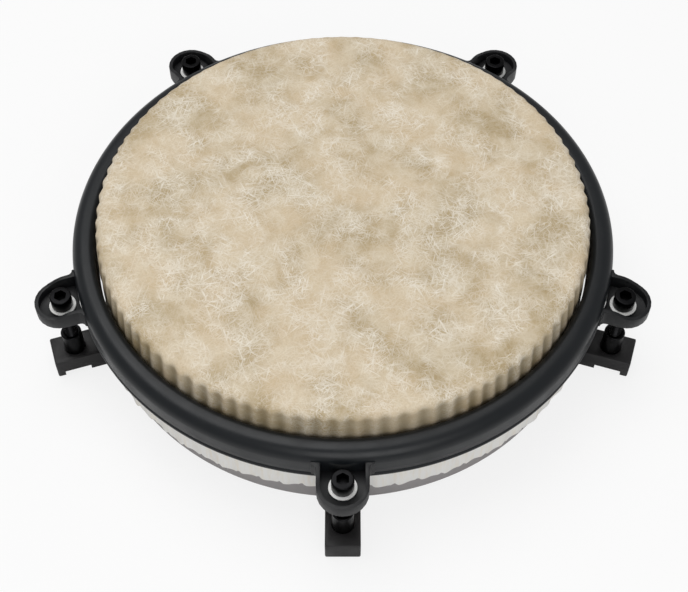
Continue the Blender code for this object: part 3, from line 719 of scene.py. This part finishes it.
class CONGA_OT_add_shell(bpy.types.Operator):
    """Turn the flared shell ring"""

    bl_idname = "conga.add_shell"
    bl_label = "Add shell"

    def execute(self, context):
        head = context.scene.conga_head
        sizes = context.scene.conga_shell
        low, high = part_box("shell")
        face, rounding = head.face_radius, head.edge_rounding
        bearing = rounding - head.film - sizes.skin_gap
        wall, soft, foot = sizes.wall, sizes.foot_rounding, high.x
        bearing_steps, wall_steps, foot_steps = 8, 10, 5
        # The inner end of the bearing edge, from which the inner wall is cut back at 45 degrees.
        land, land_height = face - 1.5 * MM, -head.film - 0.7 * MM
        inner_top = face + bearing - wall
        section = arc(face, -rounding, bearing, 90, 0, bearing_steps)
        section += straight(section[-1], (foot, low.z + soft), wall_steps)
        section += arc(foot - soft, low.z + soft, soft, 0, -90, foot_steps)[1:]
        section += arc(foot - wall + soft, low.z + soft, soft, -90, -180, foot_steps)
        section += [(inner_top, land_height - (land - inner_top)), (land, land_height)]
        shell = lathe("flared_shell", section, RING_STEPS)
        finish_piece(shell, "drum", "shell_paint", "shell_paint", "shell")
        return {"FINISHED"}


class CONGA_OT_add_hardware(bpy.types.Operator):
    """Finish the hoop, backing plates and screws that only show from below"""

    bl_idname = "conga.add_hardware"
    bl_label = "Add hardware"

    def execute(self, context):
        low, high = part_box("flesh_hoop")
        bar = (high.z - low.z) / 2
        bar_steps, hoop_steps = 24, 256
        plate_soft, screw_soft = 0.4 * MM, 0.2 * MM
        section = arc(high.x - bar, low.z + bar, bar, 90, -270, bar_steps)[:-1]
        hoop = lathe("hoop_bar", section, hoop_steps)
        finish_piece(hoop, "rim_group", "zinc_plated_steel", "hoop_steel", "flesh_hoop")
        for lug in LUGS:
            plate = copy_of_node(f"backing_plate_{lug}", f"clamp_plate_{lug}", plate_soft)
            finish_piece(plate, "drum", "zinc_plated_steel", "zinc_plate", f"backing_plate_{lug}")
            for side in "ab":
                node = f"block_screw_{lug}{side}"
                screw = copy_of_node(node, f"button_screw_{lug}{side}", screw_soft, segments=2)
                finish_piece(screw, "drum", "zinc_plated_steel", "zinc_screw", node)
        return {"FINISHED"}


def studio_paper():
    """Seamless white paper: nearly white to the camera, with the object's own soft shadow."""
    paper_grey, glow_share = (0.85, 0.85, 0.85), 0.8
    material = bpy.data.materials.new("studio_paper")
    material.use_nodes = True
    tree = material.node_tree
    shader = tree.nodes["Principled BSDF"]
    shader.inputs["Base Color"].default_value = (*paper_grey, 1.0)
    shader.inputs["Roughness"].default_value = 0.9
    glow = add_node(tree, "ShaderNodeEmission", {"Strength": 1.0})
    rays = add_node(tree, "ShaderNodeLightPath")
    share = combine(tree, "MULTIPLY", rays.outputs["Is Camera Ray"], glow_share)
    blend = add_node(tree, "ShaderNodeMixShader", None, {0: share, 1: shader.outputs[0], 2: glow.outputs[0]})
    tree.links.new(blend.outputs[0], tree.nodes["Material Output"].inputs["Surface"])
    return material


class CONGA_OT_add_stage(bpy.types.Operator):
    """Set the paper, the lamps, the plain world and the camera"""

    bl_idname = "conga.add_stage"
    bl_label = "Add stage"

    def execute(self, context):
        paper_side, sky_strength = 12, 0.42
        # Each lamp's name, place in metres, turn in degrees, side in metres and power in watts.
        lamps = (
            ("key", (-0.35, 0.35, 1.5), (-13, -13, 0), 1.3, 14),
            ("fill", (0.2, -1.3, 0.9), (55, 8, 0), 1.0, 8),
        )
        # The camera's place in metres, its tilt, and its film width and lens in millimetres.
        camera_place, camera_tilt = (0.0007, -0.51843, 0.62075), radians(35.82)
        film_width, lens = 36, 68.1
        start_alone()
        bpy.ops.mesh.primitive_plane_add(size=paper_side, location=(0, 0, cad_low.z))
        paper = context.object
        paper.name = "paper"
        paper.data.materials.append(studio_paper())
        world = bpy.data.worlds.new("plain_studio")
        world.use_nodes = True
        sky = world.node_tree.nodes["Background"]
        sky.inputs["Color"].default_value = (1, 1, 1, 1)
        sky.inputs["Strength"].default_value = sky_strength
        context.scene.world = world
        for name, place, turn, size, power in lamps:
            bpy.ops.object.light_add(type="AREA", location=place, rotation=[radians(t) for t in turn])
            lamp = context.object
            lamp.name = name
            lamp.data.size = size
            lamp.data.energy = power
        bpy.ops.object.camera_add(location=camera_place, rotation=(camera_tilt, 0, 0))
        camera = context.object
        camera.data.sensor_width = film_width
        camera.data.lens = lens
        context.scene.camera = camera
        context.scene.view_settings.view_transform = "Standard"
        return {"FINISHED"}


OPERATORS = (
    CONGA_OT_add_stage,
    CONGA_OT_add_shell,
    CONGA_OT_add_head,
    CONGA_OT_add_tail,
    CONGA_OT_add_rim,
    CONGA_OT_add_ears,
    CONGA_OT_add_washers,
    CONGA_OT_add_bolts,
    CONGA_OT_add_bushings,
    CONGA_OT_add_blocks,
    CONGA_OT_add_hardware,
)


class CONGA_PT_pieces(bpy.types.Panel):
    """Lists the conga's pieces in the sidebar"""

    bl_label = "Conga"
    bl_idname = "CONGA_PT_pieces"
    bl_space_type = "VIEW_3D"
    bl_region_type = "UI"
    bl_category = "Conga"

    def draw(self, context):
        for operator in OPERATORS:
            self.layout.operator(operator.bl_idname)
        for name in PROPERTY_GROUPS:
            group = getattr(context.scene, name)
            for value in group.bl_rna.properties.keys():
                if value not in {"rna_type", "name"}:
                    self.layout.prop(group, value)


def register():
    for group in PROPERTY_GROUPS.values():
        bpy.utils.register_class(group)
    for name, group in PROPERTY_GROUPS.items():
        setattr(bpy.types.Scene, name, bpy.props.PointerProperty(type=group))
    for operator in OPERATORS:
        bpy.utils.register_class(operator)
    bpy.utils.register_class(CONGA_PT_pieces)


def unregister():
    bpy.utils.unregister_class(CONGA_PT_pieces)
    for operator in reversed(OPERATORS):
        bpy.utils.unregister_class(operator)
    for name in PROPERTY_GROUPS:
        delattr(bpy.types.Scene, name)
    for group in reversed(list(PROPERTY_GROUPS.values())):
        bpy.utils.unregister_class(group)


def main():
    register()
    for operator in OPERATORS:
        group, action = operator.bl_idname.split(".")
        getattr(getattr(bpy.ops, group), action)()


if __name__ == "__main__":
    main()
